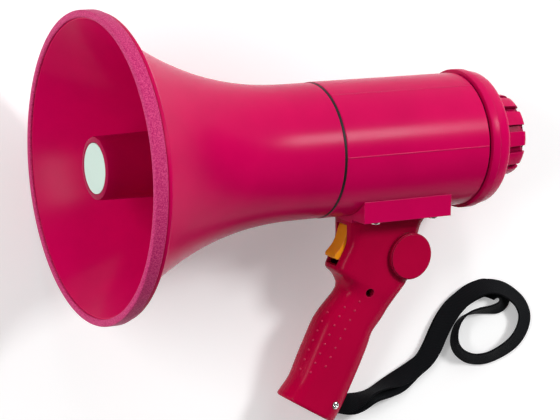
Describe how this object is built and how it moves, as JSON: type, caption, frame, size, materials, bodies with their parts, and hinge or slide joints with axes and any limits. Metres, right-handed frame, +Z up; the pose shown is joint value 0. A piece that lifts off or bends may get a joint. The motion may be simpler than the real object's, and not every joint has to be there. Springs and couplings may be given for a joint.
{
  "type": "handheld megaphone",
  "caption": "Handheld megaphone lying on its side: flared horn with plug reflector, cylindrical body, castellated mouthpiece cover, pistol grip with trigger, volume wheel and wrist strap.",
  "frame": {"origin": "centre of the footprint of the rigid part on the floor, strap left out", "axes": "+X along the floor from the mouth to the mouthpiece, +Y along the floor away from the grip, +Z up from the floor"},
  "size_m": [0.3674, 0.2966, 0.2076],
  "materials": {
    "shell_red": "glossy moulded plastic",
    "rim_red": "rough spark-textured moulding",
    "cup_red": "glossy moulded plastic",
    "badge_pale": "bare pale disc",
    "trigger_orange": "satin moulded plastic",
    "black_rubber": "matt rubber",
    "black_plastic": "matt moulded plastic",
    "bright_steel": "bright plated steel",
    "driver_steel": "plated pressed steel",
    "magnet_dark": "ferrite",
    "film": "thin moulded film",
    "copper": "enamelled copper wire",
    "board_green": "coated laminate",
    "component_dark": "moulded components",
    "cell_jacket": "printed steel jacket, left plain",
    "plunger_cream": "moulded plastic",
    "wire_black": "insulated wire",
    "webbing": "woven nylon webbing"
  },
  "bodies": {
    "housing": {"bell": "shell_red", "rim_ring": "rim_red", "reflector_cup": "cup_red", "badge_disc": "badge_pale", "tone_tube": "black_plastic", "throat_plate": "black_plastic", "driver_front": "driver_steel", "driver_magnet": "magnet_dark", "driver_yoke": "driver_steel", "driver_cap": "driver_steel", "seam_gasket": "black_rubber", "rear_body": "shell_red", "amplifier_board": "board_green", "board_parts": "component_dark", "battery_holder": "black_plastic", "battery_cells": "cell_jacket", "battery_contacts": "bright_steel", "saddle": "shell_red", "saddle_screws": "bright_steel", "grip_left": "shell_red", "grip_right": "shell_red", "grip_screw": "bright_steel", "grip_bolts": "bright_steel", "trigger_pin": "bright_steel", "talk_switch": "black_plastic", "volume_pot": "driver_steel", "wire_loom": "wire_black", "strap_screw": "bright_steel", "strap": "webbing"},
    "diaphragm": {"diaphragm": "film", "voice_coil": "copper"},
    "cover_ring": {"cover_seal": "black_rubber"},
    "cover": {"rear_cover": "shell_red", "mic_boot": "black_rubber", "mic_capsule": "driver_steel", "mic_grille": "black_plastic"},
    "trigger": {"trigger": "trigger_orange"},
    "plunger": {"switch_plunger": "plunger_cream"},
    "volume": {"volume_wheel": "black_plastic", "volume_shaft": "bright_steel"}
  },
  "joints": [
    {"name": "trigger_pull", "type": "hinge", "parent": "housing", "child": "trigger", "pos_m": [0.04338, -0.01291, 0.04873], "axis": [0.1774, -0.3011, 0.937], "range_deg": [0, 9], "stiffness_Nm_per_rad": 0.5, "springref_deg": -2.86},
    {"name": "plunger_press", "type": "slide", "parent": "housing", "child": "plunger", "axis": [0.9825, 0, -0.186], "range_m": [0, 0.00196]},
    {"name": "volume_turn", "type": "hinge", "parent": "housing", "child": "volume", "pos_m": [0.07908, -0.03246, 0.03569], "axis": [-0.1774, 0.3011, -0.937], "range_deg": [0, 300]},
    {"name": "cover_lift", "type": "slide", "parent": "housing", "child": "cover_ring", "axis": [0.9825, 0, -0.186], "range_m": [0, 0.006]},
    {"name": "cover_turn", "type": "hinge", "parent": "cover_ring", "child": "cover", "pos_m": [0.14553, 0.04335, 0.04747], "axis": [0.9825, 0, -0.186], "range_deg": [0, 540]},
    {"name": "diaphragm_travel", "type": "slide", "parent": "housing", "child": "diaphragm", "axis": [0.9825, 0, -0.186], "range_m": [-0.0003, 0.0003], "stiffness_N_per_m": 4000}
  ],
  "couplings": [
    {"joint": "plunger_press", "follows": "trigger_pull", "m_per_rad": 0.0125},
    {"joint": "cover_lift", "follows": "cover_turn", "m_per_rad": 0.00063662}
  ]
}
